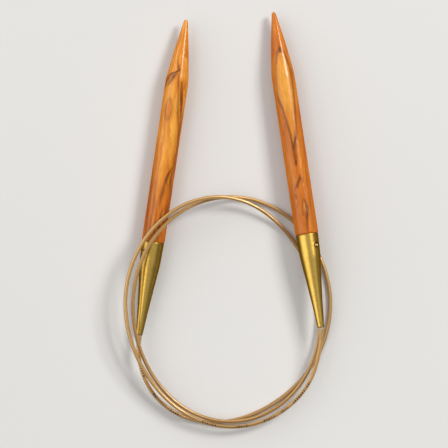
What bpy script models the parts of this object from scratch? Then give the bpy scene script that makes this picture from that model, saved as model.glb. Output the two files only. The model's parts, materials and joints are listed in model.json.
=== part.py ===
"""Circular knitting needle: two wooden needles joined by one long nylon cord, lying coiled.

The left needle lies flat on the table. The cord leaves its ferrule, makes almost two and a half
turns, passes over the left needle twice, and ends in the right needle, which lies on the coil with
its point on the table. The cord is one physical piece. Here it is a chain of curved segments, each
with its origin on the joint that bends the cord there and parented to the segment before it.

Frame: +Z up, table at z = 0, needle points towards +Y, origin under the middle of the whole object.
"""

import math

import bmesh
import bpy
import numpy as np
from mathutils import Matrix, Vector

MM = 0.001

# Needles, in mm. Stations along a needle are measured from the ferrule's mouth towards the point.
NEEDLE_RADIUS = 5.0
FERRULE_LENGTH = 41.0
SHAFT_LENGTH = 97.5
TAPER_LENGTH = 27.0
TAPER_BULGE = 0.18
POINT_RADIUS = 0.9
TENON_RADIUS = 3.7
TENON_LENGTH = 9.0
CHAMFER = 0.3
NEEDLE_SIDES = 24

FERRULE_WOOD_RADIUS = 4.85
FERRULE_SHOULDER_RADIUS = 4.45
FERRULE_SHOULDER_STATION = 31.0
FERRULE_MOUTH_RADIUS = 1.45
FERRULE_CONE = ((2.25, 10.0), (3.3, 20.5))
FERRULE_WALL = 0.7
FERRULE_BORE_LENGTH = 2.5
DIMPLE_STATION = 36.0
DIMPLE_CUTTER_RADIUS = 0.9
DIMPLE_DEPTH = 0.35

# Cord, in mm.
CORD_RADIUS = 0.825
CORD_SIDES = 8
COLLAR_LENGTH = 5.0
COLLAR_MOUTH_RADIUS = 1.35
COLLAR_CORD_RADIUS = 0.95
TAIL_START = 0.25
TAIL_LENGTH = 21.0
STOP_LENGTH = 4.0
STOP_RADIUS = 1.9
CORD_END_LENGTH = 6.0
FIT_GAP = 0.3
SEGMENT_GAP = 0.36
SEGMENT_TIP_RADIUS = 0.28
SEGMENT_TAPER = 0.42
RING_SPACING = 4.5
BENDING_JOINTS = 12

# The coil seen from above: radius in mm at each turn angle in degrees, counted from +X, and the
# stretch of the whole coil along Y.
COIL_STRETCH = 1.12
COIL_OUTLINE = (
    (193.1, 39.35), (204, 42.0), (232, 45.25), (262, 43.2), (296, 40.8), (327, 42.0), (345, 43.5),
    (362, 44.8), (389, 45.6), (430, 45.2), (496, 43.0), (564, 40.3), (606, 41.6), (650, 42.7),
    (700, 41.3), (735, 39.5), (772, 40.4), (806, 44.2), (846, 45.7), (888, 44.6), (932, 42.3),
    (980, 43.8), (1026, 45.0), (1045, 44.3), (1060, 42.4), (1071.8, 40.9),
)
CORD_START_HEADING = -95.5
CORD_END_HEADING = 96.5

# Needle directions seen from above, in degrees from +X, from the mouth to the point.
LEFT_NEEDLE_HEADING = 81.5
RIGHT_NEEDLE_HEADING = 98.5

# Height of the cord's middle above the table: level before the first ramp, then (ramp start, ramp
# end, level after it), angles in degrees along the coil and levels in mm.
MOUTH_LEVEL = NEEDLE_RADIUS
TABLE_LEVEL = 0.95
OVER_NEEDLE_LEVEL = 11.5
RIGHT_MOUTH_LEVEL = 9.0
HEIGHT_RAMPS = (
    (212, 256, TABLE_LEVEL),
    (425, 500, OVER_NEEDLE_LEVEL),
    (505, 640, 2.95),
    (690, 735, 1.0),
    (760, 842, OVER_NEEDLE_LEVEL),
    (885, 985, 5.4),
    (1010, 1071.8, RIGHT_MOUTH_LEVEL),
)
RIGHT_NEEDLE_CLEARANCE = 0.06


# ---------------------------------------------------------------- the cord's path


def clamped_spline(knots, values, start_slope, end_slope, queries):
    """Cubic spline through the values, with its slope given at both ends."""
    count = len(knots)
    step = np.diff(knots)
    system = np.zeros((count, count))
    right = np.zeros(count)
    system[0, 0] = 1.0
    system[-1, -1] = 1.0
    right[0] = start_slope
    right[-1] = end_slope
    for i in range(1, count - 1):
        before, after = step[i - 1], step[i]
        system[i, i - 1 : i + 2] = (1 / before, 2 / before + 2 / after, 1 / after)
        right[i] = 3 * ((values[i] - values[i - 1]) / before**2 + (values[i + 1] - values[i]) / after**2)
    slopes = np.linalg.solve(system, right)
    i = np.clip(np.searchsorted(knots, queries) - 1, 0, count - 2)
    t = (queries - knots[i]) / step[i]
    rise = t * t * (3 - 2 * t)
    return (
        (1 - rise) * values[i]
        + rise * values[i + 1]
        + t * (1 - t) ** 2 * step[i] * slopes[i]
        - t * t * (1 - t) * step[i] * slopes[i + 1]
    )


def radius_slope(angle, radius, heading):
    """Change of radius per radian that gives the stretched coil this heading."""
    c, s = math.cos(angle), math.sin(angle)
    hx, hy = math.cos(heading), math.sin(heading)
    return radius * (COIL_STRETCH * c * hx + s * hy) / (c * hy - COIL_STRETCH * s * hx)


def cord_heights(degrees):
    heights = np.full(len(degrees), MOUTH_LEVEL)
    level = MOUTH_LEVEL
    for start, end, after in HEIGHT_RAMPS:
        t = np.clip((degrees - start) / (end - start), 0.0, 1.0)
        heights += (after - level) * t * t * (3 - 2 * t)
        level = after
    return heights


class CordPath:
    """The cord's middle line from the left mouth to the right mouth, by arc length in mm."""

    SAMPLES = 6000

    def __init__(self):
        degrees = np.array([point[0] for point in COIL_OUTLINE], float)
        radii = np.array([point[1] for point in COIL_OUTLINE], float)
        angles = np.radians(degrees)
        turn = np.linspace(angles[0], angles[-1], self.SAMPLES)
        start = radius_slope(angles[0], radii[0], math.radians(CORD_START_HEADING))
        end = radius_slope(angles[-1], radii[-1], math.radians(CORD_END_HEADING))
        radius = clamped_spline(angles, radii, start, end, turn)
        x = radius * np.cos(turn)
        y = COIL_STRETCH * radius * np.sin(turn)
        self.points = np.stack([x, y, cord_heights(np.degrees(turn))], axis=1)
        steps = np.linalg.norm(np.diff(self.points, axis=0), axis=1)
        self.arc = np.concatenate([[0.0], np.cumsum(steps)])
        self.length = self.arc[-1]
        tangents = np.gradient(self.points, axis=0)
        self.tangents = tangents / np.linalg.norm(tangents, axis=1)[:, None]
        cosines = np.sum(self.tangents[1:] * self.tangents[:-1], axis=1)
        self.turning = np.concatenate([[0.0], np.cumsum(np.arccos(np.clip(cosines, -1.0, 1.0)))])

    def point(self, arc):
        return Vector([float(np.interp(arc, self.arc, self.points[:, k])) for k in range(3)])

    def tangent(self, arc):
        return Vector([float(np.interp(arc, self.arc, self.tangents[:, k])) for k in range(3)]).normalized()

    def bending_stations(self):
        """Arc lengths of the bending joints, spaced so that every joint bends by the same angle."""
        first = COLLAR_LENGTH + CORD_END_LENGTH
        last = self.length - COLLAR_LENGTH - 2 * CORD_END_LENGTH
        low, high = np.interp([first, last], self.arc, self.turning)
        return [float(s) for s in np.interp(np.linspace(low, high, BENDING_JOINTS), self.turning, self.arc)]


# ---------------------------------------------------------------- meshes and materials


def principled(name, colour, roughness, metallic=0.0):
    material = bpy.data.materials.new(name)
    material.use_nodes = True
    shader = material.node_tree.nodes["Principled BSDF"]
    shader.inputs["Base Color"].default_value = (*colour, 1.0)
    shader.inputs["Roughness"].default_value = roughness
    shader.inputs["Metallic"].default_value = metallic
    material.diffuse_color = (*colour, 1.0)
    return material


def finish_mesh(name, bm, material, smooth_angle=35.0):
    bmesh.ops.recalc_face_normals(bm, faces=bm.faces)
    mesh = bpy.data.meshes.new(name)
    bm.to_mesh(mesh)
    bm.free()
    mesh.shade_smooth()
    mesh.set_sharp_from_angle(angle=math.radians(smooth_angle))
    mesh.materials.append(material)
    obj = bpy.data.objects.new(name, mesh)
    bpy.context.collection.objects.link(obj)
    return obj


def bridge_rings(bm, first, second):
    count = len(first)
    for k in range(count):
        bm.faces.new((first[k], first[(k + 1) % count], second[(k + 1) % count], second[k]))


def turned(name, profile, material, sides=NEEDLE_SIDES, closed=False):
    """A body turned about local Y from (radius, y) points in mm.

    An open profile is capped at both ends, and a closed one is a ring with a hole through it. The
    radii are to the flats, and one flat faces local -Z.
    """
    bm = bmesh.new()
    corner = 1 / math.cos(math.pi / sides)
    rings = []
    for radius, y in profile:
        ring = []
        for k in range(sides):
            angle = 2 * math.pi * (k + 0.5) / sides
            reach = radius * corner * MM
            ring.append(bm.verts.new((reach * math.sin(angle), y * MM, -reach * math.cos(angle))))
        rings.append(ring)
    for first, second in zip(rings, rings[1:]):
        bridge_rings(bm, first, second)
    if closed:
        bridge_rings(bm, rings[-1], rings[0])
    else:
        bm.faces.new(rings[0])
        bm.faces.new(rings[-1])
    return finish_mesh(name, bm, material)


def swept(name, path, stations, origin, material):
    """A rod along the cord's path, with (arc, radius) stations in mm, placed with its origin at origin."""
    bm = bmesh.new()
    rings = []
    for arc, radius in stations:
        middle = path.point(arc)
        tangent = path.tangent(arc)
        side = Vector((0, 0, 1)).cross(tangent).normalized()
        up = tangent.cross(side)
        ring = []
        for k in range(CORD_SIDES):
            angle = 2 * math.pi * (k + 0.5) / CORD_SIDES
            offset = radius * (math.cos(angle) * side + math.sin(angle) * up)
            ring.append(bm.verts.new((middle + offset - origin) * MM))
        rings.append(ring)
    for first, second in zip(rings, rings[1:]):
        bridge_rings(bm, first, second)
    bm.faces.new(rings[0])
    bm.faces.new(rings[-1])
    return finish_mesh(name, bm, material)


def attach(obj, parent, offset, rotation=None):
    """Parent an object at an offset in mm in its parent's frame."""
    obj.parent = parent
    obj.location = offset * MM
    if rotation is not None:
        obj.rotation_euler = rotation


def empty(name, parent, offset, rotation=None):
    obj = bpy.data.objects.new(name, None)
    bpy.context.collection.objects.link(obj)
    obj.empty_display_size = 5 * MM
    attach(obj, parent, offset, rotation)
    return obj


# ---------------------------------------------------------------- the pieces of one needle


def shaft_profile():
    """From the tenon's end to the rounded point, with a slightly convex taper."""
    shoulder = FERRULE_LENGTH + FIT_GAP
    tip = FERRULE_LENGTH + SHAFT_LENGTH
    profile = [
        (TENON_RADIUS - CHAMFER, shoulder - TENON_LENGTH),
        (TENON_RADIUS, shoulder - TENON_LENGTH + CHAMFER),
        (TENON_RADIUS, shoulder),
        (NEEDLE_RADIUS - CHAMFER, shoulder),
        (NEEDLE_RADIUS, shoulder + CHAMFER),
    ]
    taper_steps = 8
    taper_start = tip - TAPER_LENGTH
    taper_end = tip - POINT_RADIUS
    for k in range(taper_steps + 1):
        t = k / taper_steps
        fall = (1 - TAPER_BULGE) * t + TAPER_BULGE * t * t
        radius = NEEDLE_RADIUS + (POINT_RADIUS - NEEDLE_RADIUS) * fall
        profile.append((radius, taper_start + (taper_end - taper_start) * t))
    for degrees in (35, 65):
        angle = math.radians(degrees)
        profile.append((POINT_RADIUS * math.cos(angle), taper_end + POINT_RADIUS * math.sin(angle)))
    return profile


def ferrule_profile():
    """A hollow cone: outer side from the mouth to the wood, then back along the bores."""
    socket_radius = TENON_RADIUS + FIT_GAP
    socket_floor = FERRULE_LENGTH - TENON_LENGTH - FIT_GAP
    cord_bore = CORD_RADIUS + FIT_GAP
    hollow = [(radius - FERRULE_WALL, station) for radius, station in reversed(FERRULE_CONE)]
    return [
        (FERRULE_MOUTH_RADIUS - 0.1, FIT_GAP / 2),
        (FERRULE_MOUTH_RADIUS, FIT_GAP / 2 + 0.2),
        *FERRULE_CONE,
        (FERRULE_SHOULDER_RADIUS - 0.05, FERRULE_SHOULDER_STATION - 0.8),
        (FERRULE_SHOULDER_RADIUS + 0.04, FERRULE_SHOULDER_STATION + 0.8),
        (FERRULE_WOOD_RADIUS, FERRULE_LENGTH - 0.2),
        (FERRULE_WOOD_RADIUS - 0.2, FERRULE_LENGTH),
        (socket_radius, FERRULE_LENGTH),
        (socket_radius, socket_floor),
        *hollow,
        (cord_bore, FERRULE_BORE_LENGTH),
        (cord_bore, FIT_GAP / 2),
    ]


def build_ferrule(side, assembly, outward, material):
    ferrule = turned("ferrule_" + side, ferrule_profile(), material, closed=True)
    attach(ferrule, assembly, Vector((0, 0, 0)))
    wall_radius = FERRULE_SHOULDER_RADIUS + (FERRULE_WOOD_RADIUS - FERRULE_SHOULDER_RADIUS) / 2
    reach = wall_radius + DIMPLE_CUTTER_RADIUS - DIMPLE_DEPTH
    cutter_bm = bmesh.new()
    bmesh.ops.create_icosphere(cutter_bm, subdivisions=2, radius=DIMPLE_CUTTER_RADIUS * MM)
    cutter = finish_mesh("dimple_cutter_" + side, cutter_bm, material)
    attach(cutter, assembly, Vector((outward[0] * reach, DIMPLE_STATION, outward[1] * reach)))
    cutter.hide_render = True
    cutter.display_type = "WIRE"
    cut = ferrule.modifiers.new("stake dimple", "BOOLEAN")
    cut.operation = "DIFFERENCE"
    cut.solver = "EXACT"
    cut.object = cutter


def build_needle(side, assembly, outward, materials):
    """Shaft, ferrule, and the cord's tail and stop inside the ferrule, along local +Y."""
    shaft = turned("needle_shaft_" + side, shaft_profile(), materials["wood"])
    attach(shaft, assembly, Vector((0, 0, 0)))
    build_ferrule(side, assembly, outward, materials["brass"])

    tail_profile = [
        (CORD_RADIUS - 0.1, TAIL_START),
        (CORD_RADIUS, TAIL_START + 0.1),
        (CORD_RADIUS, TAIL_LENGTH),
        (CORD_RADIUS - 0.2, TAIL_LENGTH + 0.2),
    ]
    tail = turned("cord_tail_" + side, tail_profile, materials["nylon"], sides=12)
    attach(tail, assembly, Vector((0, 0, 0)))

    hole = CORD_RADIUS + FIT_GAP / 2
    stop_start = TAIL_LENGTH - STOP_LENGTH - 0.5
    stop_profile = [
        (hole, stop_start),
        (1.45, stop_start),
        (STOP_RADIUS, stop_start + 2.2),
        (STOP_RADIUS, stop_start + STOP_LENGTH),
        (hole, stop_start + STOP_LENGTH),
    ]
    stop = turned("cord_stop_" + side, stop_profile, materials["brass"], sides=12, closed=True)
    attach(stop, assembly, Vector((0, 0, 0)))


# ---------------------------------------------------------------- the cord


def segment_stations(start, end):
    """Rings of one cord segment: full width inside, and a cone towards the joint at either end.

    The cones leave room for the whole travel of the joints.
    """
    low = start + SEGMENT_GAP / 2
    high = end - SEGMENT_GAP / 2
    steps = max(1, round((end - start) / RING_SPACING))
    inner = np.linspace(low + SEGMENT_TAPER, high - SEGMENT_TAPER, steps + 1)
    tips = [(low, SEGMENT_TIP_RADIUS), (high, SEGMENT_TIP_RADIUS)]
    return sorted(tips + [(float(s), CORD_RADIUS) for s in inner])


def collar_stations(start, end):
    """Rings of a moulded collar, from its wide end at the ferrule to a cone that faces the cord."""
    steps = 4
    forward = math.copysign(1.0, end - start)
    reach = end - forward * SEGMENT_TAPER - start
    stations = [(end, SEGMENT_TIP_RADIUS)]
    for k in range(steps + 1):
        t = k / steps
        radius = COLLAR_CORD_RADIUS + (COLLAR_MOUTH_RADIUS - COLLAR_CORD_RADIUS) * (1 - t) ** 1.5
        stations.append((start + reach * t, radius))
    return sorted(stations)


def build_cord(path, left_needle, nylon):
    """The chain from the left needle's collar to the empty that carries the right needle."""
    bending = path.bending_stations()
    names = ["cord_end_left"]
    names += ["cord_segment_%02d" % (k + 1) for k in range(len(bending) - 1)]
    names += ["cord_end_right", "cord_neck_right"]
    lift_station = path.length - COLLAR_LENGTH
    joints = [COLLAR_LENGTH] + bending + [lift_station - CORD_END_LENGTH, lift_station]

    parent, parent_point = left_needle, path.point(0)
    for name, start, end in zip(names, joints, joints[1:]):
        hinge = path.point(start)
        segment = swept(name, path, segment_stations(start, end), hinge, nylon)
        attach(segment, parent, hinge - parent_point)
        parent, parent_point = segment, hinge
    hinge = path.point(lift_station)
    return empty("right_lift_joint", parent, hinge - parent_point), hinge


def build():
    for obj in list(bpy.data.objects):
        bpy.data.objects.remove(obj, do_unlink=True)
    materials = {
        "wood": principled("olive_wood", (0.62, 0.26, 0.06), 0.28),
        "brass": principled("satin_brass", (0.78, 0.56, 0.20), 0.30, metallic=1.0),
        "nylon": principled("tan_nylon", (0.47, 0.30, 0.14), 0.38),
    }
    path = CordPath()
    frame = empty("needle_frame", None, Vector((0, 0, 0)))

    left_mouth = path.point(0)
    left_joint = empty("left_needle_joint", frame, left_mouth)
    left_turn = math.radians(LEFT_NEEDLE_HEADING - 90)
    left_assembly = empty("left_needle", left_joint, Vector((0, 0, 0)), (0, 0, left_turn))
    build_needle("left", left_assembly, (-0.75, 0.66), materials)
    left_collar = collar_stations(FIT_GAP / 2, COLLAR_LENGTH - SEGMENT_GAP / 2)
    collar = swept("cord_collar_left", path, left_collar, left_mouth, materials["nylon"])
    attach(collar, left_joint, Vector((0, 0, 0)))

    lift_joint, lift_point = build_cord(path, left_joint, materials["nylon"])

    right_mouth = path.point(path.length)
    contact = FERRULE_LENGTH + SHAFT_LENGTH - TAPER_LENGTH
    drop = math.atan2(RIGHT_MOUTH_LEVEL - NEEDLE_RADIUS - RIGHT_NEEDLE_CLEARANCE, contact)
    right_turn = math.radians(RIGHT_NEEDLE_HEADING - 90)
    rotation = (Matrix.Rotation(right_turn, 3, "Z") @ Matrix.Rotation(-drop, 3, "X")).to_euler()
    right_assembly = empty("right_needle", lift_joint, right_mouth - lift_point, rotation)
    build_needle("right", right_assembly, (0.75, 0.66), materials)
    wide, narrow = path.length - FIT_GAP / 2, path.length - COLLAR_LENGTH + SEGMENT_GAP / 2
    collar = swept("cord_collar_right", path, collar_stations(wide, narrow), lift_point, materials["nylon"])
    attach(collar, lift_joint, Vector((0, 0, 0)))

    centre_on_origin(frame)


def centre_on_origin(frame):
    """Shift everything sideways so the origin lies under the middle of the object's box."""
    bpy.context.view_layer.update()
    corners = []
    for obj in bpy.data.objects:
        if obj.type == "MESH" and not obj.hide_render:
            corners += [obj.matrix_world @ vertex.co for vertex in obj.data.vertices]
    for axis in (0, 1):
        values = [corner[axis] for corner in corners]
        frame.location[axis] = -(min(values) + max(values)) / 2
    bpy.context.view_layer.update()


build()
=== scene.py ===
"""Looks of the circular knitting needle: varnished olive wood, turned brass and a tan cord.

Places come from the CAD model's frame. Sizes are written out below: they follow the CAD model's,
with small differences at the collars and in the dents. The needles' shafts and ferrules are rebuilt
as smooth turned bodies in each needle's own frame, and the cord is swept along the middle line of
the CAD segments, one piece across every joint. Lengths are in mm until they are placed in the frame.
"""

import json
import math

import bmesh
import bpy
import numpy as np
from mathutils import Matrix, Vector


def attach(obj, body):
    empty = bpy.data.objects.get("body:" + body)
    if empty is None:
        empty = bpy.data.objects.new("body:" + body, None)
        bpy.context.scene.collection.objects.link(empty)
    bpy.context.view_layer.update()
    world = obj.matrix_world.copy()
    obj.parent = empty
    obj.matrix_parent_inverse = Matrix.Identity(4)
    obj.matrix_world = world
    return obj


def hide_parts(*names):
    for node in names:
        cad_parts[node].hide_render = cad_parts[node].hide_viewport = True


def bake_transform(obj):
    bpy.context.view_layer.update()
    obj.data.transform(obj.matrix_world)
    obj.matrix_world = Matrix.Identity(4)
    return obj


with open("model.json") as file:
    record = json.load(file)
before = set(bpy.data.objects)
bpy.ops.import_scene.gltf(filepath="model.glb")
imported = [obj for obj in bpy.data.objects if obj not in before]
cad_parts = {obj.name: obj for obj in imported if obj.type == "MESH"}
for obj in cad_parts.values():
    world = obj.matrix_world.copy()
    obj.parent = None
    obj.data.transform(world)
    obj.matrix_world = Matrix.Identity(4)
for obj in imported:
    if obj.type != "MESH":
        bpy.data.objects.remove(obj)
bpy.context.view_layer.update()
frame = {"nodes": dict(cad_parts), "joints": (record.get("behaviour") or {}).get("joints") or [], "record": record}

MM = 0.001

# Needles. Stations run along a needle from the ferrule's mouth to the point.
NEEDLE_RADIUS = 5.0
NEEDLE_LENGTH = 138.5
TAPER_LENGTH = 27.0
TAPER_BULGE = 0.18
SHOULDER_SOFTNESS = 0.7
POINT_RADIUS = 0.9
TENON_RADIUS = 3.7
TENON_START = 32.3
WOOD_START = 41.04
WOOD_CHAMFER = 0.42
FERRULE_START = 0.15
FERRULE_LENGTH = 41.0
NEEDLE_SIDES = 128

DIMPLE_STATION = 36.0
DIMPLE_RADIUS = 1.1
DIMPLE_DEPTH = 0.42
STAKE_RADIUS = 4.62
STAKE_DIRECTION = (0.70, 0.71)
CRIMP_STATION = 2.1
CRIMP_RADIUS = 0.55
CRIMP_DEPTH = 0.16
CRIMP_DIRECTION = (0.6, 0.8)
STAKE_RIM = 0.05
CRIMP_RIM = 0.03

# Cord.
CORD_RADIUS = 0.825
CORD_SIDES = 28
CORD_STEP = 0.5
COLLAR_MOUTH_RADIUS = 1.32
COLLAR_CORD_RADIUS = 0.92
COLLAR_LIP_RADIUS = 1.4
COLLAR_OVERLAP = 1.5

# Where the cord is printed, as turn angles of the coil in degrees, read from the photo. The
# print is replaced by plain ticks with no lettering.
PRINTED_STRETCHES = (
    (208, 215), (224, 227), (235.5, 242.5), (321, 327.5), (332, 337.5),
    (975, 983), (993.5, 1001), (1009.5, 1017), (1020.5, 1025), (1029, 1042.5),
)
COIL_STRETCH = 1.12
TICK_PITCH = 1.15

# Studio, in metres except for the camera's sensor in mm: floor, sky and camera straight above.
FLOOR_HALF = 6.0
FLOOR_DROP = 0.05 * MM
SKY_DIRECTION = (-0.30, 0.10, 0.95)
SKY_BRIGHT = 0.46
SKY_DIM = 0.11
CAMERA_TARGET = (-1.87 * MM, -1.59 * MM, 5.0 * MM)
CAMERA_DISTANCE = 1.1
FRAME_WIDTH = 194.4 * MM
SENSOR_WIDTH = 36.0
# Lights: name, direction, distance, size, radiance and colour.
LIGHTS = (
    ("window_left", (-0.82, 0.10, 0.57), 2.00, (2.50, 2.60), 1.20, (1.0, 0.95, 0.90)),
    ("key_right", (0.61, 0.41, 0.69), 2.20, (0.66, 0.70), 22.0, (1.0, 0.97, 0.93)),
    ("fill_back", (0.0, 0.85, 0.50), 2.25, (2.00, 1.00), 1.7, (1.0, 0.98, 0.95)),
)

# ---------------------------------------------------------------- reading the frame


def cad_points(node):
    """The distinct corners of a CAD node's mesh, in metres."""
    mesh = frame["nodes"][node].data
    points = np.zeros(len(mesh.vertices) * 3, np.float32)
    mesh.vertices.foreach_get("co", points)
    return np.unique(points.reshape(-1, 3), axis=0).astype(float)


def unit(vector):
    return vector / np.linalg.norm(vector)


class Needle:
    """One needle's own frame, found from its CAD shaft and ferrule."""

    def __init__(self, side):
        shaft = cad_points("needle_shaft_" + side)
        ferrule = cad_points("ferrule_" + side)
        middle = shaft.mean(axis=0)
        along = np.linalg.svd(shaft - middle, full_matrices=False)[2][0]
        if (middle - ferrule.mean(axis=0)) @ along < 0:
            along = -along
        start = ((ferrule - middle) @ along).min() - FERRULE_START * MM
        self.side = side
        self.body = side + "_needle"
        self.outward = -1.0 if side == "left" else 1.0
        self.mouth = middle + start * along
        self.along = along
        self.across = unit(np.cross(along, (0.0, 0.0, 1.0)))
        self.up = np.cross(self.across, along)

    def place(self, local):
        """Local points in mm (across, along, up), as points of the frame in metres."""
        axes = np.stack([self.across, self.along, self.up])
        return self.mouth + (local * MM) @ axes


def ring_centres(node, start, end):
    """Centres of a CAD cord segment's rings between its two joints, nearest the start first."""
    points = cad_points(node)
    travel = (points - start) @ unit(end - start)
    order = np.argsort(travel)
    breaks = np.nonzero(np.diff(travel[order]) > 1.0 * MM)[0] + 1
    centres = [points[group].mean(axis=0) for group in np.split(order, breaks)]
    clear = 2.0 * MM
    return [c for c in centres if min(np.linalg.norm(c - start), np.linalg.norm(c - end)) > clear]


class CordLine:
    """The cord's middle line by arc length in mm, as a smooth curve through points in metres."""

    def __init__(self, points):
        points = np.array(points)
        knots = np.concatenate([[0.0], np.cumsum(np.linalg.norm(np.diff(points, axis=0), axis=1))])
        fine = np.linspace(0.0, knots[-1], 14000)
        samples = natural_spline(knots, points, fine)
        steps = np.linalg.norm(np.diff(samples, axis=0), axis=1)
        self.arc = np.concatenate([[0.0], np.cumsum(steps)]) / MM
        self.samples = samples
        self.knot_arcs = np.interp(knots, fine, self.arc)
        self.length = self.arc[-1]

    def at(self, arcs):
        return np.stack([np.interp(arcs, self.arc, self.samples[:, k]) for k in range(3)], axis=1)

    def axes(self, arcs):
        """Unit vectors along the cord, sideways and upwards, at each arc length."""
        reach = 0.4
        along = self.at(np.minimum(arcs + reach, self.length)) - self.at(np.maximum(arcs - reach, 0.0))
        along /= np.linalg.norm(along, axis=1)[:, None]
        side = np.cross((0.0, 0.0, 1.0), along)
        side /= np.linalg.norm(side, axis=1)[:, None]
        return along, side, np.cross(along, side)

    def turn_angles(self):
        """The turn angle of the coil at each sample, in degrees, growing along the cord."""
        low, high = self.samples[:, :2].min(axis=0), self.samples[:, :2].max(axis=0)
        flat = self.samples[:, :2] - (low + high) / 2
        angles = np.degrees(np.unwrap(np.arctan2(flat[:, 1], flat[:, 0] * COIL_STRETCH)))
        return angles - 360 * math.floor(angles[0] / 360)


def natural_spline(knots, values, queries):
    """Cubic spline through rows of values, with no curvature at its ends."""
    count = len(knots)
    step = np.diff(knots)
    system = np.eye(count)
    right = np.zeros_like(values)
    for i in range(1, count - 1):
        system[i, i - 1 : i + 2] = (step[i - 1], 2 * (step[i - 1] + step[i]), step[i])
        slope_change = (values[i + 1] - values[i]) / step[i] - (values[i] - values[i - 1]) / step[i - 1]
        right[i] = 6 * slope_change
    bend = np.linalg.solve(system, right)
    i = np.clip(np.searchsorted(knots, queries) - 1, 0, count - 2)
    h = step[i][:, None]
    after = (queries - knots[i])[:, None] / h
    before = 1 - after
    cubic = (before**3 - before) * bend[i] + (after**3 - after) * bend[i + 1]
    return before * values[i] + after * values[i + 1] + h * h / 6 * cubic


# ---------------------------------------------------------------- meshes


def closed_body(name, rings, coordinates, attribute, material, ring_closed=False, sharp_angle=32.0):
    """A closed body through rings of points, with caps at its ends or, if ring_closed, none.

    rings and coordinates have the shape (ring, corner, 3); coordinates are kept on the points as
    the attribute that the material reads.
    """
    count, sides = rings.shape[:2]
    index = np.arange(count * sides).reshape(count, sides)
    first = index if ring_closed else index[:-1]
    second = np.roll(index, -1, axis=0) if ring_closed else index[1:]
    quads = np.stack([first, np.roll(first, -1, axis=1), np.roll(second, -1, axis=1), second], axis=-1)
    faces = quads.reshape(-1, 4).tolist()
    if not ring_closed:
        faces += [index[0][::-1].tolist(), index[-1].tolist()]
    mesh = bpy.data.meshes.new(name)
    mesh.from_pydata(rings.reshape(-1, 3).tolist(), [], faces)
    layer = mesh.attributes.new(attribute, "FLOAT_VECTOR", "POINT")
    layer.data.foreach_set("vector", coordinates.astype(np.float32).ravel())
    bm = bmesh.new()
    bm.from_mesh(mesh)
    bmesh.ops.recalc_face_normals(bm, faces=bm.faces)
    bm.to_mesh(mesh)
    bm.free()
    mesh.shade_smooth()
    mesh.set_sharp_from_angle(angle=math.radians(sharp_angle))
    mesh.materials.append(material)
    obj = bpy.data.objects.new(name, mesh)
    bpy.context.scene.collection.objects.link(obj)
    return obj


def subdivided(profile, step):
    """A profile of (radius, station) corners with its straight stretches cut to steps."""
    points = [profile[0]]
    for (r0, s0), (r1, s1) in zip(profile, profile[1:]):
        pieces = max(1, round(math.hypot(r1 - r0, s1 - s0) / step))
        for k in range(1, pieces + 1):
            t = k / pieces
            points.append((r0 + (r1 - r0) * t, s0 + (s1 - s0) * t))
    return np.array(points)


def turned_body(name, needle, profile, material, shape=None, ring_closed=False):
    """A body turned about a needle's axis from (radius, station) rows, with dents from shape()."""
    angles = np.linspace(0, 2 * math.pi, NEEDLE_SIDES, endpoint=False)
    radius, station = profile[:, :1], profile[:, 1:]
    local = np.stack(
        [radius * np.sin(angles), station + 0 * angles, radius * np.cos(angles)],
        axis=-1,
    )
    if shape is not None:
        local = shape(local)
    rings = needle.place(local.reshape(-1, 3)).reshape(local.shape)
    piece = closed_body(name, rings, local, "needle_space", material, ring_closed)
    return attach(piece, needle.body)


# ---------------------------------------------------------------- needles


def shaft_radius(station):
    """Straight, then a slightly convex taper that starts with a soft shoulder."""
    taper_start = NEEDLE_LENGTH - TAPER_LENGTH
    reach = TAPER_LENGTH - POINT_RADIUS
    travel = SHOULDER_SOFTNESS * np.log1p(np.exp((station - taper_start) / SHOULDER_SOFTNESS))
    t = np.minimum(travel / reach, 1.0)
    fall = (1 - TAPER_BULGE) * t + TAPER_BULGE * t * t
    return NEEDLE_RADIUS + (POINT_RADIUS - NEEDLE_RADIUS) * fall


def shaft_profile():
    rear = [
        (TENON_RADIUS - 0.3, TENON_START),
        (TENON_RADIUS, TENON_START + 0.3),
        (TENON_RADIUS, WOOD_START),
        (NEEDLE_RADIUS - WOOD_CHAMFER, WOOD_START),
        (NEEDLE_RADIUS - 0.12, WOOD_START + WOOD_CHAMFER * 0.62),
        (NEEDLE_RADIUS, WOOD_START + WOOD_CHAMFER * 1.25),
    ]
    stations = np.arange(WOOD_START + 1.0, NEEDLE_LENGTH - POINT_RADIUS, 0.4)
    body = np.stack([shaft_radius(stations), stations], axis=1)
    angles = np.radians(np.arange(4, 89, 7))
    centre = NEEDLE_LENGTH - POINT_RADIUS
    tip = np.stack([POINT_RADIUS * np.cos(angles), centre + POINT_RADIUS * np.sin(angles)], axis=1)
    return np.concatenate([subdivided(rear, 0.5), body, tip])


def hand_turned(local):
    """Small slow swellings, as a turned and sanded stick has."""
    x, s, z = np.moveaxis(local, -1, 0)
    angle = np.arctan2(x, z)
    swell = 0.012 * np.sin(s * 0.23) + 0.010 * np.sin(s * 0.61 + 2 * angle)
    swell = swell + 0.006 * np.sin(s * 1.7 + 3 * angle)
    fade = np.clip((s - WOOD_START - 2.0) / 6.0, 0, 1) * np.clip((NEEDLE_LENGTH - s) / 20.0, 0, 1)
    scale = 1 - fade * (0.022 + swell) / NEEDLE_RADIUS
    return np.stack([x * scale, s, z * scale], axis=-1)


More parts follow.
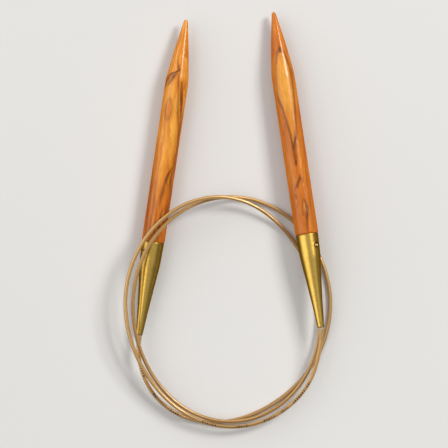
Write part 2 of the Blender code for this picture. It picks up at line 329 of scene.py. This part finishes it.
def ferrule_profiles():
    """The outer side from the mouth to the wood, and the way back through socket and bores."""
    socket = TENON_RADIUS + 0.12
    outer = [
        (1.30, FERRULE_START),
        (1.42, FERRULE_START + 0.12),
        (1.47, FERRULE_START + 0.45),
        (1.86, 5.0),
        (2.28, 10.0),
        (3.32, 20.5),
        (4.28, 29.2),
        (4.43, 30.6),
        (4.50, 31.6),
        (4.56, 33.0),
        (4.83, 40.3),
        (4.86, 40.75),
        (4.80, 40.96),
        (4.62, FERRULE_LENGTH),
    ]
    inner = [
        (socket, FERRULE_LENGTH),
        (socket, 31.7),
        (2.6, 20.5),
        (1.55, 10.0),
        (1.125, 2.5),
        (1.125, FERRULE_START),
    ]
    return subdivided(outer, 0.25), subdivided(inner, 1.0)


def dented(needle, outer_rows):
    """Dents of one ferrule: the stake mark that holds the wood, and the crimp at the mouth."""

    def dent(local, station, direction, radius, depth, rim):
        x, s, z = np.moveaxis(local, -1, 0)
        reach = np.maximum(np.hypot(x, z), 1e-6)
        towards = np.array(direction) / np.hypot(*direction)
        cosine = np.clip((x * towards[0] + z * towards[1]) / reach, -1, 1)
        away = np.hypot(np.arccos(cosine) * reach, s - station) / radius
        bowl = -depth * np.clip(1 - away**2, 0, 1) ** 0.8
        lip = rim * np.exp(-(((away - 1.15) / 0.22) ** 2))
        scale = 1 + (bowl + lip) / reach
        return np.stack([x * scale, s, z * scale], axis=-1)

    def shape(local):
        stake = (STAKE_DIRECTION[0] * needle.outward, STAKE_DIRECTION[1])
        crimp = (CRIMP_DIRECTION[0] * needle.outward, CRIMP_DIRECTION[1])
        moved = dent(local[:outer_rows], DIMPLE_STATION, stake, DIMPLE_RADIUS, DIMPLE_DEPTH, STAKE_RIM)
        moved = dent(moved, CRIMP_STATION, crimp, CRIMP_RADIUS, CRIMP_DEPTH, CRIMP_RIM)
        return np.concatenate([moved, local[outer_rows:]])

    return shape


def build_needle(needle, wood, brass):
    shaft = turned_body("wood_shaft_" + needle.side, needle, shaft_profile(), wood, hand_turned)
    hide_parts("needle_shaft_" + needle.side)
    outer, inner = ferrule_profiles()
    profile = np.concatenate([outer, inner])
    dents = dented(needle, len(outer))
    ferrule = turned_body("brass_ferrule_" + needle.side, needle, profile, brass, dents, ring_closed=True)
    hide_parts("ferrule_" + needle.side)


# ---------------------------------------------------------------- cord


def swept_body(name, line, arcs, radii, material):
    """A round body along the cord between arc lengths, with its own round coordinates in mm."""
    arcs, radii = np.array(arcs, float), np.array(radii, float)
    angles = np.linspace(0, 2 * math.pi, CORD_SIDES, endpoint=False)
    _, side, up = line.axes(arcs)
    around = np.cos(angles)[None, :, None] * side[:, None] + np.sin(angles)[None, :, None] * up[:, None]
    rings = line.at(arcs)[:, None] + around * (radii * MM)[:, None, None]
    coordinates = np.stack(
        [radii[:, None] * np.cos(angles), radii[:, None] * np.sin(angles), arcs[:, None] + 0 * angles],
        axis=-1,
    )
    return closed_body(name, rings, coordinates, "cord_space", material)


def print_zones(piece, line, arcs):
    """Marks on the points where the cord is printed, for the cord's material."""
    turns = np.interp(arcs, line.arc, line.turn_angles())
    zone = np.zeros(len(arcs))
    for start, end in PRINTED_STRETCHES:
        zone = np.maximum(zone, (turns > start) & (turns < end))
    layer = piece.data.attributes.new("printed", "FLOAT", "POINT")
    layer.data.foreach_set("value", np.repeat(zone, CORD_SIDES).astype(np.float32))


def build_cord(line, joint_arcs, material):
    """One piece across each joint, from the middle of one body to the middle of the next."""
    joints = frame["joints"]
    bodies = frame["record"]["behaviour"]["bodies"]
    last = len(joints) - 1
    middles = (joint_arcs[1:] + joint_arcs[:-1]) / 2
    for k, joint in enumerate(joints):
        start = joint_arcs[0] if k == 0 else middles[k - 1]
        end = joint_arcs[last] if k == last else middles[k]
        low = start - COLLAR_OVERLAP if k == 0 else start
        high = end + COLLAR_OVERLAP if k == last else end
        steps = max(4, round((high - low) / CORD_STEP))
        arcs = np.linspace(low, high, steps + 1)
        piece = swept_body("cord_%02d" % (k + 1), line, arcs, np.full(len(arcs), CORD_RADIUS), material)
        print_zones(piece, line, arcs)
        if k < last:
            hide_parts(*bodies[joint["child"]])
        points = line.at(np.array([start, end]))
        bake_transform(piece)


def build_collar(side, line, mouth_arc, cord_arc, body, material):
    """The moulded sleeve between a ferrule's mouth and the bare cord, with a lip at the mouth."""
    t = np.array([0, 0.01, 0.05, 0.075, 0.085, 0.12, 0.2, 0.3, 0.42, 0.55, 0.7, 0.85, 0.95, 0.985, 1.0])
    radii = COLLAR_CORD_RADIUS + (COLLAR_MOUTH_RADIUS - COLLAR_CORD_RADIUS) * (1 - t) ** 1.4
    radii[:4] = (COLLAR_LIP_RADIUS - 0.06, COLLAR_LIP_RADIUS, COLLAR_LIP_RADIUS, COLLAR_LIP_RADIUS - 0.05)
    radii[-2:] -= (0.02, 0.07)
    arcs = mouth_arc + (cord_arc - mouth_arc) * t
    order = np.argsort(arcs)
    collar = swept_body("cord_collar_sleeve_" + side, line, arcs[order], radii[order], material)
    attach(collar, body)
    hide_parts("cord_collar_" + side)


# ---------------------------------------------------------------- materials


class Field:
    """A number or vector that varies over a surface, for writing node trees as formulas."""

    def __init__(self, tree, socket):
        self.tree = tree
        self.socket = socket

    def math(self, operation, *others, clamp=False):
        node = self.tree.nodes.new("ShaderNodeMath")
        node.operation = operation
        node.use_clamp = clamp
        for slot, value in enumerate((self, *others)):
            if isinstance(value, Field):
                self.tree.links.new(value.socket, node.inputs[slot])
            else:
                node.inputs[slot].default_value = value
        return Field(self.tree, node.outputs[0])

    def __add__(self, other):
        return self.math("ADD", other)

    def __sub__(self, other):
        return self.math("SUBTRACT", other)

    def __mul__(self, other):
        return self.math("MULTIPLY", other)

    def __truediv__(self, other):
        return self.math("DIVIDE", other)

    def squared(self):
        return self.math("MULTIPLY", self)

    def bell(self, width):
        """1 where the value is 0, falling off within width."""
        return (self / width).squared().math("MULTIPLY", -1.0).math("EXPONENT")

    def smooth(self, low, high):
        """0 below low, 1 above high, with a soft step between."""
        node = self.tree.nodes.new("ShaderNodeMapRange")
        node.interpolation_type = "SMOOTHSTEP"
        self.tree.links.new(self.socket, node.inputs["Value"])
        node.inputs["From Min"].default_value = low
        node.inputs["From Max"].default_value = high
        return Field(self.tree, node.outputs["Result"])


class Surface:
    """A Principled material whose inputs are driven by fields of its x, y and z."""

    def __init__(self, name, attribute=None):
        self.material = bpy.data.materials.new(name)
        self.material.use_nodes = True
        self.tree = self.material.node_tree
        self.shader = self.tree.nodes["Principled BSDF"]
        if attribute is None:
            self.place = self.tree.nodes.new("ShaderNodeTexCoord").outputs["Object"]
        else:
            self.place = self.read(attribute).outputs["Vector"]
        split = self.tree.nodes.new("ShaderNodeSeparateXYZ")
        self.tree.links.new(self.place, split.inputs[0])
        self.x, self.y, self.z = (Field(self.tree, output) for output in split.outputs)

    def read(self, attribute):
        node = self.tree.nodes.new("ShaderNodeAttribute")
        node.attribute_name = attribute
        return node

    def vector(self, x, y, z):
        node = self.tree.nodes.new("ShaderNodeCombineXYZ")
        for socket, value in zip(node.inputs, (x, y, z)):
            if isinstance(value, Field):
                self.tree.links.new(value.socket, socket)
            else:
                socket.default_value = value
        return node.outputs[0]

    def noise(self, vector, detail=2.0, roughness=0.5, offset=(0.0, 0.0, 0.0)):
        """Noise from 0 to 1 over a vector that already has the noise's scale."""
        shift = self.tree.nodes.new("ShaderNodeVectorMath")
        shift.operation = "ADD"
        shift.inputs[1].default_value = offset
        self.tree.links.new(vector, shift.inputs[0])
        node = self.tree.nodes.new("ShaderNodeTexNoise")
        node.inputs["Scale"].default_value = 1.0
        node.inputs["Detail"].default_value = detail
        node.inputs["Roughness"].default_value = roughness
        self.tree.links.new(shift.outputs[0], node.inputs["Vector"])
        return Field(self.tree, node.outputs["Fac"])

    def curve(self, value, points, low, high):
        """A smooth function of value through (place, height) points, with heights from low to high."""
        start, end = points[0][0], points[-1][0]
        node = self.tree.nodes.new("ShaderNodeFloatCurve")
        spline = node.mapping.curves[0]
        for k, (place, height) in enumerate(points):
            x, y = (place - start) / (end - start), (height - low) / (high - low)
            if k in (0, len(points) - 1):
                spline.points[0 if k == 0 else -1].location = (x, y)
            else:
                spline.points.new(x, y)
        node.mapping.update()
        share = (value - start) / (end - start)
        self.tree.links.new(share.socket, node.inputs["Value"])
        return Field(self.tree, node.outputs[0]) * (high - low) + low

    def mix(self, share, first, second, blend="MIX"):
        node = self.tree.nodes.new("ShaderNodeMix")
        node.data_type = "RGBA"
        node.blend_type = blend
        colours = [socket for socket in node.inputs if socket.type == "RGBA"]
        if isinstance(share, Field):
            self.tree.links.new(share.socket, node.inputs["Factor"])
        else:
            node.inputs["Factor"].default_value = share
        for socket, value in zip(colours, (first, second)):
            if isinstance(value, tuple):
                socket.default_value = (*value, 1.0)
            else:
                self.tree.links.new(value, socket)
        return [socket for socket in node.outputs if socket.type == "RGBA"][0]

    def facing(self):
        """0 where the surface faces the viewer and 1 at its outline."""
        node = self.tree.nodes.new("ShaderNodeLayerWeight")
        node.inputs["Blend"].default_value = 0.5
        return Field(self.tree, node.outputs["Facing"])

    def bump(self, height, distance):
        """Relief from a height field, with the real height of a step from 0 to 1 in mm."""
        node = self.tree.nodes.new("ShaderNodeBump")
        node.inputs["Strength"].default_value = 1.0
        node.inputs["Distance"].default_value = distance * MM
        self.tree.links.new(height.socket, node.inputs["Height"])
        self.tree.links.new(node.outputs["Normal"], self.shader.inputs["Normal"])

    def set(self, name, value):
        socket = self.shader.inputs[name]
        if isinstance(value, Field):
            self.tree.links.new(value.socket, socket)
        elif isinstance(value, tuple):
            socket.default_value = (*value, 1.0)
        elif isinstance(value, (int, float)):
            socket.default_value = value
        else:
            self.tree.links.new(value, socket)


HONEY = (0.95, 0.43, 0.060)
ORANGE = (0.74, 0.26, 0.018)
AMBER = (0.56, 0.138, 0.005)
RUST = (0.21, 0.038, 0.005)
UMBER = (0.080, 0.015, 0.004)
STRAW = (0.95, 0.47, 0.070)
PEARL = (1.0, 0.86, 0.62)

# Figure of the wood seen from above, in a needle's frame, read from the photo: dark veins as
# rows of (station, place across, half width, darkness), from the rear to the point.
LEFT_VEINS = (
    ((106, -4.9, 0.3, 0.0), (110.1, -4.6, 0.5, 0.8), (114.1, -2.8, 0.7, 1.0), (115.4, -0.6, 0.65, 1.0),
     (116.1, 0.25, 0.5, 0.9), (117.6, -0.2, 0.4, 0.7), (121, -0.9, 0.3, 0.3), (124, -1.0, 0.3, 0.0)),
    ((108.5, -3.6, 0.3, 0.0), (111.7, -2.4, 0.6, 0.85), (113.7, -1.4, 0.65, 0.9), (115.0, -0.4, 0.5, 0.0)),
    ((48, 3.4, 0.4, 0.5), (54.9, 3.9, 0.5, 0.9), (60, 4.5, 0.4, 0.7), (69, 3.8, 0.45, 0.85),
     (76.9, 4.5, 0.45, 0.8), (87.6, 4.25, 0.4, 0.9), (96.8, 4.0, 0.4, 0.95), (102.8, 3.2, 0.4, 0.9),
     (108.7, 2.5, 0.35, 0.75), (112, 2.1, 0.3, 0.0)),
    ((88, 4.1, 0.3, 0.0), (93.6, 3.3, 0.3, 0.55), (98.3, 2.3, 0.35, 0.65), (107.9, 1.25, 0.3, 0.6),
     (113, 0.5, 0.3, 0.4), (116, 0.2, 0.3, 0.0)),
    ((56, 0.3, 0.4, 0.0), (62.5, 0.9, 0.5, 0.75), (66.2, 1.35, 0.45, 0.85), (70.3, 2.1, 0.4, 0.9),
     (73.6, 3.3, 0.3, 0.6), (76, 3.9, 0.3, 0.0)),
    ((42, -3.6, 0.4, 0.5), (55.5, -4.2, 0.4, 0.85), (63.2, -4.35, 0.4, 0.8), (70.9, -4.3, 0.35, 0.7),
     (80, -4.5, 0.3, 0.3), (90, -4.7, 0.3, 0.0)),
    ((42, -2.6, 0.3, 0.5), (52, -2.1, 0.3, 0.6), (62, -2.3, 0.3, 0.4), (70, -2.6, 0.3, 0.0)),
    ((42, 0.4, 0.35, 0.6), (50, -0.3, 0.3, 0.5), (60, -0.9, 0.3, 0.0)),
    ((42, 1.9, 0.3, 0.4), (49, 1.6, 0.35, 0.7), (57, 2.2, 0.3, 0.0)),
)
RIGHT_VEINS = (
    ((73.5, -0.7, 0.3, 0.3), (77.2, -0.45, 0.45, 0.95), (80.6, -0.55, 0.45, 0.9), (84.9, -0.85, 0.35, 0.8),
     (89, -1.45, 0.3, 0.7), (94.4, -2.2, 0.3, 0.8), (98.4, -3.1, 0.35, 0.8), (101.5, -3.6, 0.35, 0.65),
     (109.2, -3.2, 0.3, 0.3), (116.7, -2.05, 0.3, 0.45), (120.4, -1.1, 0.3, 0.7), (122, 0.0, 0.4, 0.6)),
    ((77, -0.1, 0.4, 0.7), (78.7, 0.1, 0.5, 0.9), (81.6, 0.9, 0.5, 0.9), (84.5, 1.8, 0.4, 0.8),
     (87.6, 2.2, 0.35, 0.6), (92.1, 2.6, 0.3, 0.55), (95.6, 2.9, 0.3, 0.6), (100.5, 3.3, 0.3, 0.5),
     (105.1, 3.45, 0.35, 0.7), (110.3, 3.6, 0.4, 0.85), (113.7, 3.2, 0.35, 0.7), (121.1, 1.2, 0.35, 0.6),
     (122.2, 0.2, 0.4, 0.5)),
    ((120.4, 0.0, 0.4, 0.0), (121.8, 0.1, 0.55, 1.0), (123, 0.1, 0.4, 0.6), (125, 0.1, 0.3, 0.0)),
    ((70.6, -0.25, 0.2, 0.0), (72, -0.2, 0.35, 0.9), (74.6, 0.15, 0.3, 0.85), (76.4, 0.4, 0.2, 0.0)),
    ((60.6, -1.3, 0.3, 0.0), (62, -1.15, 0.5, 0.75), (63.6, -0.5, 0.55, 0.85), (65, 0.3, 0.5, 0.8),
     (66.6, 0.6, 0.3, 0.0)),
    ((62.6, 1.2, 0.3, 0.0), (64.6, 1.4, 0.35, 0.5), (66, 1.5, 0.3, 0.0)),
    ((42, 0.3, 0.4, 0.4), (46, 0.7, 0.4, 0.7), (50, 1.4, 0.45, 0.9), (53, 1.5, 0.4, 0.8),
     (56.5, 1.0, 0.3, 0.0)),
    ((48.5, -0.5, 0.3, 0.0), (50.5, -0.5, 0.3, 0.5), (54, 0.0, 0.3, 0.5), (57, 0.6, 0.3, 0.0)),
    ((42, 3.6, 0.3, 0.2), (60, 3.5, 0.3, 0.3), (85, 4.3, 0.3, 0.25), (100, 4.5, 0.3, 0.0)),
)
# Paler places of the same kind: (station, place across, half width, paleness).
LEFT_PALE = (
    ((78, 1.4, 0.8, 0.0), (86, 1.9, 1.3, 0.45), (95, 1.6, 1.4, 0.5), (104, 0.4, 1.3, 0.35),
     (112, -2.4, 1.0, 0.3), (117, -2.2, 0.9, 0.0)),
)
RIGHT_PALE = (
    ((76, 0.2, 0.4, 0.0), (84, 0.6, 0.9, 0.35), (94, 0.6, 1.8, 0.6), (102, 0.4, 2.6, 0.9),
     (110, 0.4, 2.4, 0.9), (117, 0.2, 1.6, 0.7), (121, 0.0, 0.8, 0.2)),
    ((50, 0.5, 0.3, 0.0), (52.6, 0.6, 0.45, 0.9), (55, 0.6, 0.3, 0.0)),
)
VEIN_BREADTH = 1.3
# One oval eye with a dim inside: (station, place across, half length, half width).
LEFT_EYE = (99.2, -1.8, 4.4, 1.35)


def marks(surface, along, across, rows):
    """How strongly listed marks show, from 0 to 1: soft lines that follow their rows."""
    total = None
    for points in rows:
        middle = surface.curve(along, [(p[0], p[1]) for p in points], -6.0, 6.0)
        width = surface.curve(along, [(p[0], p[2]) for p in points], 0.0, 3.0)
        strength = surface.curve(along, [(p[0], p[3]) for p in points], 0.0, 1.0)
        first, last = points[0][0], points[-1][0]
        inside = along.smooth(first - 0.4, first) * along.smooth(last + 0.4, last)
        mark = ((across - middle) / width).bell(VEIN_BREADTH) * strength * inside
        total = mark if total is None else total.math("MAXIMUM", mark)
    return total


def wood_material(name, seed, pith, veins, pale, eye, ground, redness):
    """Varnished olive wood: wandering growth rings, dark veins, an eye, fibres and pores, with painted shade
    towards the outline.
    """
    wood = Surface(name, "needle_space")
    x, s, z = wood.x, wood.y, wood.z
    shift = (seed, seed * 0.7, seed * 1.3)
    drift = wood.noise(wood.vector(x * 0.14, s * 0.026, z * 0.14), 2.0, 0.5, shift) - 0.5
    wobble = wood.noise(wood.vector(x * 0.5, s * 0.16, z * 0.5), 2.0, 0.5, shift) - 0.5
    ripple = wood.noise(wood.vector(x * 1.8, s * 0.45, z * 1.8), 2.0, 0.6, shift) - 0.5
    fibres = wood.noise(wood.vector(x * 6.0, s * 0.20, z * 6.0), 3.0, 0.65, shift)
    clouds = wood.noise(wood.vector(x * 0.35, s * 0.07, z * 0.35), 3.0, 0.55, (seed, 7, 2))
    patches = wood.noise(wood.vector(x * 0.8, s * 0.13, z * 0.8), 2.0, 0.6, (seed, 1, 6))
    pores = wood.noise(wood.vector(x * 9.0, s * 1.1, z * 9.0), 1.0, 0.5, shift).smooth(0.66, 0.76)
    top = (z / 5.0).smooth(-0.1, 0.3)

    away_x = x - pith[0] + drift * 5.0
    away_z = z - pith[1] + drift * 3.0
    distance = (away_x.squared() + away_z.squared()).math("SQRT")
    rings = distance + (s - 90.0) * 0.045 + wobble * 1.5 + ripple * 0.16
    phase = (rings / 1.55).math("FRACT")
    strength = wood.noise(wood.vector(x * 0.22, s * 0.05, z * 0.22), 1.0, 0.5, (seed + 9, 3, 1))
    strength = strength.smooth(0.35, 0.65)
    calm = top * s.smooth(58.0, 82.0) * -0.6 + 1.0
    late = phase.smooth(0.30, 0.93) * (phase.math("SUBTRACT", 0.965).smooth(0.0, 0.035) * -1.0 + 1.0)
    line = (phase - 0.94).bell(0.05) * strength * calm

    across = x + wobble * 0.6 + ripple * 0.55
    along = s + wobble * 2.0
    broken = patches.smooth(0.30, 0.55) * 0.5 + 0.5
    dark = marks(wood, along, across, veins) * top * broken
    light = marks(wood, along, across, pale) * top

    base = wood.mix(clouds.smooth(0.30, 0.66), *ground)
    red = (s - 66.0 + wobble * 30.0).smooth(16.0, -16.0) * redness
    base = wood.mix(red, base, AMBER)
    base = wood.mix(late * (strength * 0.40 + 0.22), base, AMBER)
    base = wood.mix(light * (fibres * 0.5 + 0.5), base, STRAW)
    base = wood.mix(line * 0.6, base, RUST)
    if eye:
        station, place, half_length, half_width = eye
        reach = ((across - place) / half_width).squared() + ((along - station) / half_length).squared()
        reach = reach.math("SQRT")
        base = wood.mix(reach.smooth(1.2, 0.4) * top * 0.36, base, AMBER)
        dark = dark.math("MAXIMUM", (reach + wobble * 0.8 - 1.0).bell(0.26) * top * broken * 0.34)
    halo = dark.math("POWER", 0.6) * 0.42
    base = wood.mix(halo, base, RUST)
    streaked = fibres.smooth(0.30, 0.62) * 0.5 + 0.5
    base = wood.mix((dark * streaked).math("MINIMUM", 0.9), base, UMBER)
    base = wood.mix(fibres.smooth(0.60, 0.34) * 0.24, base, RUST)
    base = wood.mix(pores * 0.28, base, UMBER)
    # Painted shade: the colour darkens towards the outline, where the coat and specular also fade.
    outline = wood.facing().smooth(0.16, 0.62)
    base = wood.mix(outline * 0.35, base, AMBER)
    wood.set("Base Color", base)
    wood.set("Roughness", fibres * 0.10 + 0.38)
    wood.set("Specular IOR Level", outline * -0.09 + 0.09)
    wood.set("Coat Weight", outline * -0.80 + 0.85)
    wood.set("Coat IOR", 1.42)
    wood.set("Coat Roughness", wobble * 0.08 + 0.18)
    wood.bump(fibres * 0.7 - pores * 0.9 + ripple, 0.005)
    return wood.material


def brass_material(name, outward):
    """Turned brass: fine turning lines, satin mottling, darker rougher rims, painted shade towards the outline,
    and a painted glint in the stake dent inside a ring of painted shade.
    """
    brass = Surface(name, "needle_space")
    x, s, z = brass.x, brass.y, brass.z
    lines = brass.noise(brass.vector(x * 0.05, s * 9.0, z * 0.05), 2.0, 0.7)
    broad = brass.noise(brass.vector(x * 0.03, s * 1.3, z * 0.03), 2.0, 0.5)
    mottle = brass.noise(brass.vector(x * 0.9, s * 0.6, z * 0.9), 3.0, 0.6)
    specks = brass.noise(brass.vector(x * 3.0, s * 2.2, z * 3.0), 2.0, 0.6).smooth(0.64, 0.74)
    dashes = brass.noise(brass.vector(x * 0.55, s * 5.5, z * 0.55), 2.0, 0.65, (3.0, 8.0, 5.0))
    dashes = dashes.smooth(0.56, 0.72)
    painted_edge_shade = brass.facing().smooth(0.11, 0.46)

    stake = unit(np.array(STAKE_DIRECTION)) * STAKE_RADIUS
    away_x, away_s, away_z = x - stake[0] * outward, s - DIMPLE_STATION, z - stake[1]
    away = (away_x.squared() + away_s.squared() + away_z.squared()).math("SQRT") / DIMPLE_RADIUS

    base = brass.mix(mottle.smooth(0.35, 0.7), (0.84, 0.55, 0.115), (0.76, 0.49, 0.105))
    base = brass.mix(broad.smooth(0.4, 0.75) * 0.30, base, (0.60, 0.40, 0.10))
    base = brass.mix(specks * 0.34, base, (0.30, 0.18, 0.04))
    base = brass.mix(dashes * 0.30, base, (0.42, 0.26, 0.06))
    rims = (s - 40.85).bell(0.30).math("MAXIMUM", (s - 0.4).bell(0.3)) * 0.6
    base = brass.mix(rims, base, (0.26, 0.15, 0.04))
    # Painted shade: the brass darkens towards its outline.
    base = brass.mix(painted_edge_shade * 0.90, base, (0.11, 0.056, 0.009))
    # Painted shade in a ring round the stake dent, and a painted glint inside its bowl.
    base = brass.mix((away - 0.95).bell(0.28) * 0.85, base, (0.05, 0.025, 0.006))
    base = brass.mix(away.smooth(0.66, 0.40) * 0.9, base, (1.0, 0.80, 0.38))
    brass.set("Base Color", base)
    brass.set("Metallic", 1.0)
    brass.set("Specular Tint", (0.75, 0.52, 0.20))
    brass.set("Roughness", mottle * 0.12 + (lines * 0.08 + rims * 0.25 + 0.21))
    brass.bump(lines + broad * 0.8, 0.0045)
    return brass.material


def cord_material():
    """Golden tan nylon over a twisted core: fine lines along it, a pearly skin, printed ticks and painted shade
    towards the outline.
    """
    cord = Surface("tan_cord", "cord_space")
    x, y, arc = cord.x, cord.y, cord.z
    strands = cord.noise(cord.vector(x * 3.2, y * 3.2, arc * 0.012), 2.0, 0.5)
    fine = cord.noise(cord.vector(x * 8.0, y * 8.0, arc * 0.05), 2.0, 0.6)
    clouds = cord.noise(cord.vector(x * 0.5, y * 0.5, arc * 0.05), 2.0, 0.5)
    grime = cord.noise(cord.vector(x * 1.2, y * 1.2, arc * 0.7), 3.0, 0.6)

    base = cord.mix(strands.smooth(0.42, 0.58), (0.31, 0.178, 0.058), (0.70, 0.465, 0.195))
    base = cord.mix(clouds.smooth(0.4, 0.7) * 0.35, base, (0.52, 0.315, 0.110))
    base = cord.mix(fine.smooth(0.5, 0.7) * 0.28, base, (0.80, 0.58, 0.31))
    # Painted shade: the cord darkens towards its outline.
    outline = cord.facing().smooth(0.20, 0.75)
    base = cord.mix(outline * 0.4, base, (0.22, 0.120, 0.036))

    pitches = arc / TICK_PITCH
    place = pitches.math("FRACT")
    cell = pitches.math("FLOOR")
    share = cord.noise(cord.vector(cell * 3.7, 0.0, 0.0), 0.0).smooth(0.3, 0.7) * 0.22 + 0.14
    drawn = ((place - 0.5).math("ABSOLUTE") - share).smooth(0.03, -0.03)
    band = x.math("ABSOLUTE").smooth(0.50, 0.42) * y.smooth(0.1, 0.3)
    printed = Field(cord.tree, cord.read("printed").outputs["Fac"]).smooth(0.4, 0.6)
    wear = grime.smooth(0.30, 0.42)
    base = cord.mix(printed * drawn * band * wear * 0.95, base, (0.030, 0.014, 0.008))
    cord.set("Base Color", base)
    cord.set("Metallic", 0.40)
    cord.set("Roughness", grime * 0.14 + 0.25)
    cord.set("Specular IOR Level", 0.8)
    cord.set("Coat Weight", 0.8)
    cord.set("Coat Roughness", 0.18)
    cord.set("Coat Tint", PEARL)
    cord.bump(strands * 0.8 + fine * 0.5, 0.010)
    return cord.material


def collar_material():
    """Moulded nylon: smoother and a little lighter than the cord, pale at the ferrule's mouth."""
    collar = Surface("moulded_nylon", "cord_space")
    x, y, arc = collar.x, collar.y, collar.z
    reach = (x.squared() + y.squared()).math("SQRT")
    clouds = collar.noise(collar.vector(x * 0.8, y * 0.8, arc * 0.5), 3.0, 0.6)
    flow = collar.noise(collar.vector(x * 4.0, y * 4.0, arc * 0.15), 2.0, 0.5)
    base = collar.mix(clouds.smooth(0.35, 0.7), (0.46, 0.27, 0.098), (0.56, 0.35, 0.145))
    base = collar.mix(flow.smooth(0.45, 0.65) * 0.35, base, (0.58, 0.41, 0.20))
    lip = reach.smooth(COLLAR_MOUTH_RADIUS + 0.01, COLLAR_LIP_RADIUS - 0.02)
    base = collar.mix(lip * 0.8, base, (0.74, 0.64, 0.50))
    collar.set("Base Color", base)
    collar.set("Metallic", 0.25)
    collar.set("Roughness", clouds * 0.15 + 0.28)
    collar.bump(flow * 0.7 + clouds, 0.015)
    return collar.material


def hidden_material(name, colours, metallic, roughness):
    """Finish of the parts inside a ferrule: mottled, with fine machining lines."""
    hidden = Surface(name)
    mottle = hidden.noise(hidden.vector(hidden.x * 900.0, hidden.y * 900.0, hidden.z * 900.0), 3.0, 0.6)
    hidden.set("Base Color", hidden.mix(mottle.smooth(0.35, 0.65), *colours))
    hidden.set("Metallic", metallic)
    hidden.set("Roughness", mottle * 0.2 + roughness)
    hidden.bump(mottle, 0.02)
    return hidden.material


# ---------------------------------------------------------------- studio


def area_light(name, direction, distance, size, radiance, colour):
    """A rectangular light that faces the object from a direction, of the given radiance."""
    data = bpy.data.lights.new(name, "AREA")
    data.shape = "RECTANGLE"
    data.size, data.size_y = size
    data.energy = radiance * math.pi * size[0] * size[1]
    data.color = colour
    light = bpy.data.objects.new(name, data)
    light.visible_camera = False
    bpy.context.scene.collection.objects.link(light)
    towards = Vector(direction).normalized()
    light.location = towards * distance
    light.rotation_euler = (-towards).to_track_quat("-Z", "Y").to_euler()


def build_floor():
    floor_material = Surface("pale_floor")
    grain = floor_material.noise(floor_material.place, 3.0, 0.6)
    shade = floor_material.mix(grain.smooth(0.3, 0.7), (0.70, 0.70, 0.695), (0.735, 0.735, 0.73))
    floor_material.set("Base Color", shade)
    floor_material.set("Roughness", 0.85)
    floor_material.set("Specular IOR Level", 0.15)
    half = FLOOR_HALF
    corners = [(-half, -half, 0), (half, -half, 0), (half, half, 0), (-half, half, 0)]
    mesh = bpy.data.meshes.new("floor")
    mesh.from_pydata(corners, [], [(0, 1, 2, 3)])
    mesh.materials.append(floor_material.material)
    floor = bpy.data.objects.new("floor", mesh)
    bpy.context.scene.collection.objects.link(floor)
    floor.location.z = -FLOOR_DROP


def build_sky(scene):
    """A world that glows softly from above and to the left, and is dim at the horizon."""
    world = bpy.data.worlds.new("studio")
    world.use_nodes = True
    tree = world.node_tree
    direction = tree.nodes.new("ShaderNodeTexCoord").outputs["Generated"]
    towards = tree.nodes.new("ShaderNodeVectorMath")
    towards.operation = "DOT_PRODUCT"
    towards.inputs[1].default_value = Vector(SKY_DIRECTION).normalized()
    tree.links.new(direction, towards.inputs[0])
    glow = Field(tree, towards.outputs["Value"]).smooth(0.0, 1.0) * (SKY_BRIGHT - SKY_DIM) + SKY_DIM
    background = tree.nodes["Background"]
    background.inputs["Color"].default_value = (0.96, 0.975, 1.0, 1.0)
    tree.links.new(glow.socket, background.inputs["Strength"])
    scene.world = world


def build_camera(scene):
    """Straight above the object, as in the photo."""
    data = bpy.data.cameras.new("camera")
    data.sensor_width = SENSOR_WIDTH
    data.lens = SENSOR_WIDTH * CAMERA_DISTANCE / FRAME_WIDTH
    data.clip_start = 0.05
    data.clip_end = 10.0
    camera = bpy.data.objects.new("camera", data)
    scene.collection.objects.link(camera)
    camera.location = Vector(CAMERA_TARGET) + Vector((0, 0, CAMERA_DISTANCE))
    scene.camera = camera


def build_studio():
    scene = bpy.context.scene
    scene.view_settings.view_transform = "Standard"
    build_sky(scene)
    for light in LIGHTS:
        area_light(*light)
    build_floor()
    build_camera(scene)


# ---------------------------------------------------------------- assembly


def cord_points(left, right):
    """Points along the cord's middle line, and the places of the joints among them."""
    joints = frame["joints"]
    bodies = frame["record"]["behaviour"]["bodies"]
    places = [np.array(joint["pos_m"], float) for joint in joints]
    points, joint_knots = [left.mouth], []
    for k, place in enumerate(places):
        joint_knots.append(len(points))
        points.append(place)
        if k + 1 < len(places):
            node = bodies[joints[k]["child"]][0]
            points += ring_centres(node, place, places[k + 1])
    points.append(right.mouth)
    return points, joint_knots


def build():
    left, right = Needle("left"), Needle("right")
    left_wood = wood_material(
        "olive_wood_left", 3.1, (-9.0, -6.0), LEFT_VEINS, LEFT_PALE, LEFT_EYE, (HONEY, ORANGE), 0.80
    )
    right_wood = wood_material(
        "olive_wood_right", 11.7, (8.0, -9.0), RIGHT_VEINS, RIGHT_PALE, None, (ORANGE, AMBER), 0.45
    )
    build_needle(left, left_wood, brass_material("turned_brass_left", left.outward))
    build_needle(right, right_wood, brass_material("turned_brass_right", right.outward))

    points, joint_knots = cord_points(left, right)
    line = CordLine(points)
    joint_arcs = line.knot_arcs[joint_knots]
    build_cord(line, joint_arcs, cord_material())
    collar = collar_material()
    build_collar("left", line, 0.0, joint_arcs[0], left.body, collar)
    build_collar("right", line, line.length, joint_arcs[-1], right.body, collar)

    inner_nylon = hidden_material("inner_nylon", ((0.40, 0.24, 0.10), (0.52, 0.34, 0.16)), 0.0, 0.30)
    inner_brass = hidden_material("inner_brass", ((0.60, 0.42, 0.13), (0.80, 0.58, 0.22)), 1.0, 0.22)
    for side in ("left", "right"):
        frame["nodes"]["cord_tail_" + side].data.materials[0] = inner_nylon
        frame["nodes"]["cord_stop_" + side].data.materials[0] = inner_brass

    build_studio()


build()
